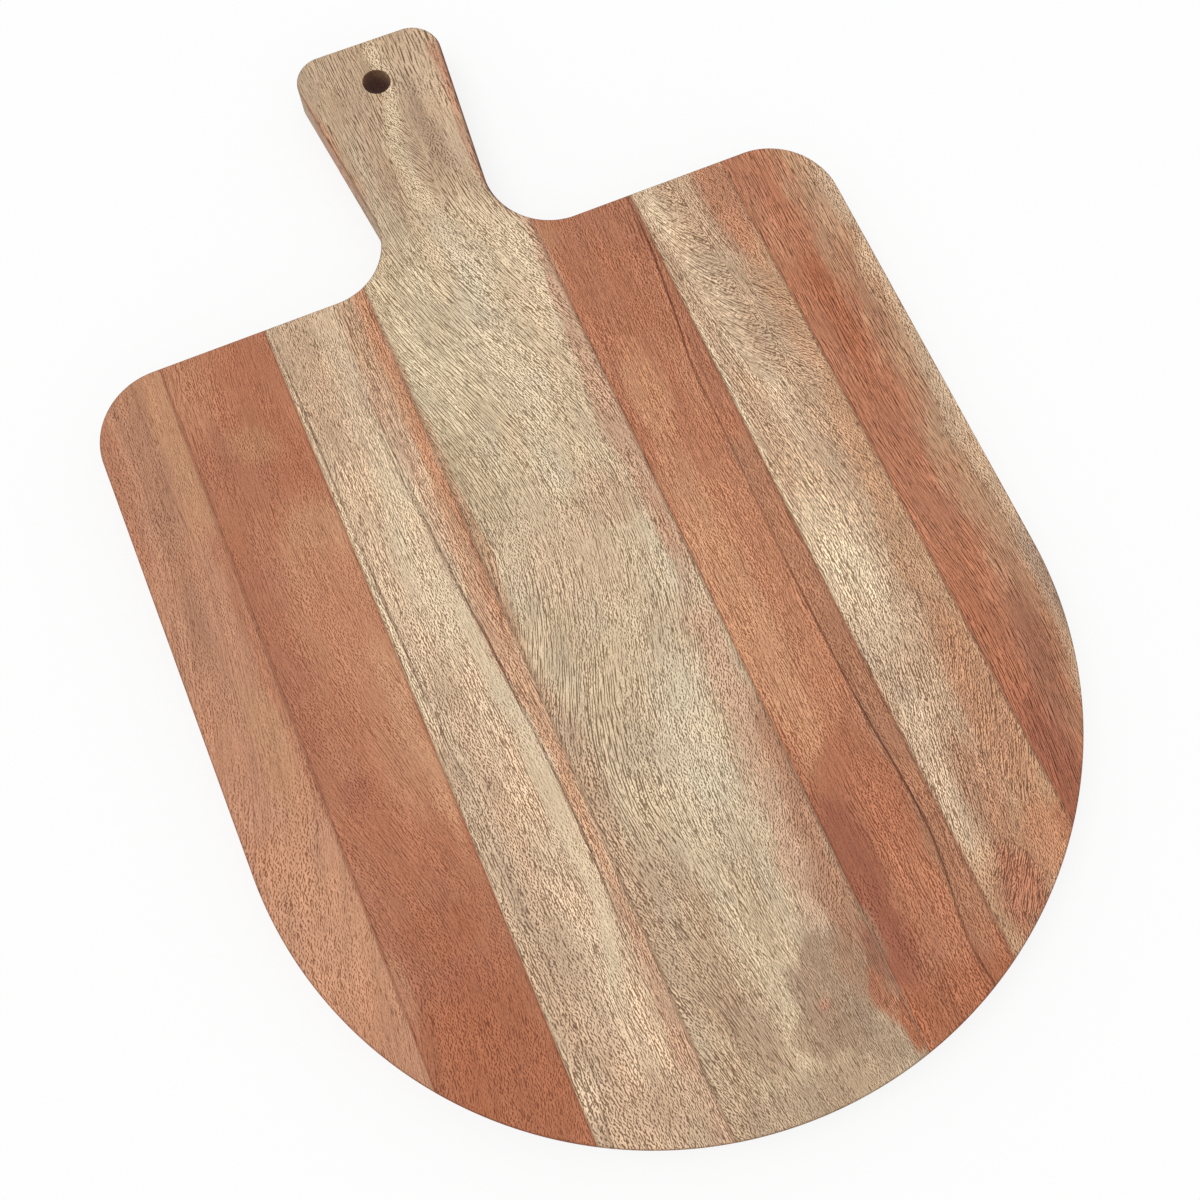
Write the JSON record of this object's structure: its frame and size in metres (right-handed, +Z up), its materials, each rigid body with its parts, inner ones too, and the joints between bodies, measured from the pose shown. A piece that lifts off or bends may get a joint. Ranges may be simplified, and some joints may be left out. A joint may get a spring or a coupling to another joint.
{
  "type": "pizza board",
  "caption": "Paddle-shaped hardwood serving board of edge-glued staves, with a round end, square shoulders and a short flared handle with a hanging hole.",
  "frame": {"origin": "on the underside, in the middle of the board's width and length", "axes": "+Y along the staves towards the handle, +X across the staves to the right, +Z up from the underside to the serving face"},
  "size_m": [0.3, 0.44, 0.015],
  "materials": {
    "left_outer_wood": "oiled satin, pinkish tan with a grey-brown streak",
    "left_middle_wood": "oiled satin, red-brown heartwood",
    "left_inner_wood": "oiled satin, cream sapwood with a tan strip",
    "centre_wood": "oiled satin, khaki beige with dark pores",
    "right_inner_wood": "oiled satin, red-brown heartwood with a dark hairline",
    "right_middle_wood": "oiled satin, cream to tan",
    "right_outer_wood": "oiled satin, red-brown to beige",
    "glue": "sanded flush"
  },
  "bodies": {
    "root": {"left_outer_stave": "left_outer_wood", "left_middle_stave": "left_middle_wood", "left_inner_stave": "left_inner_wood", "centre_handle_stave": "centre_wood", "right_inner_stave": "right_inner_wood", "right_middle_stave": "right_middle_wood", "right_outer_stave": "right_outer_wood", "left_outer_glue_line": "glue", "left_middle_glue_line": "glue", "left_inner_glue_line": "glue", "right_inner_glue_line": "glue", "right_middle_glue_line": "glue", "right_outer_glue_line": "glue"}
  },
  "joints": []
}
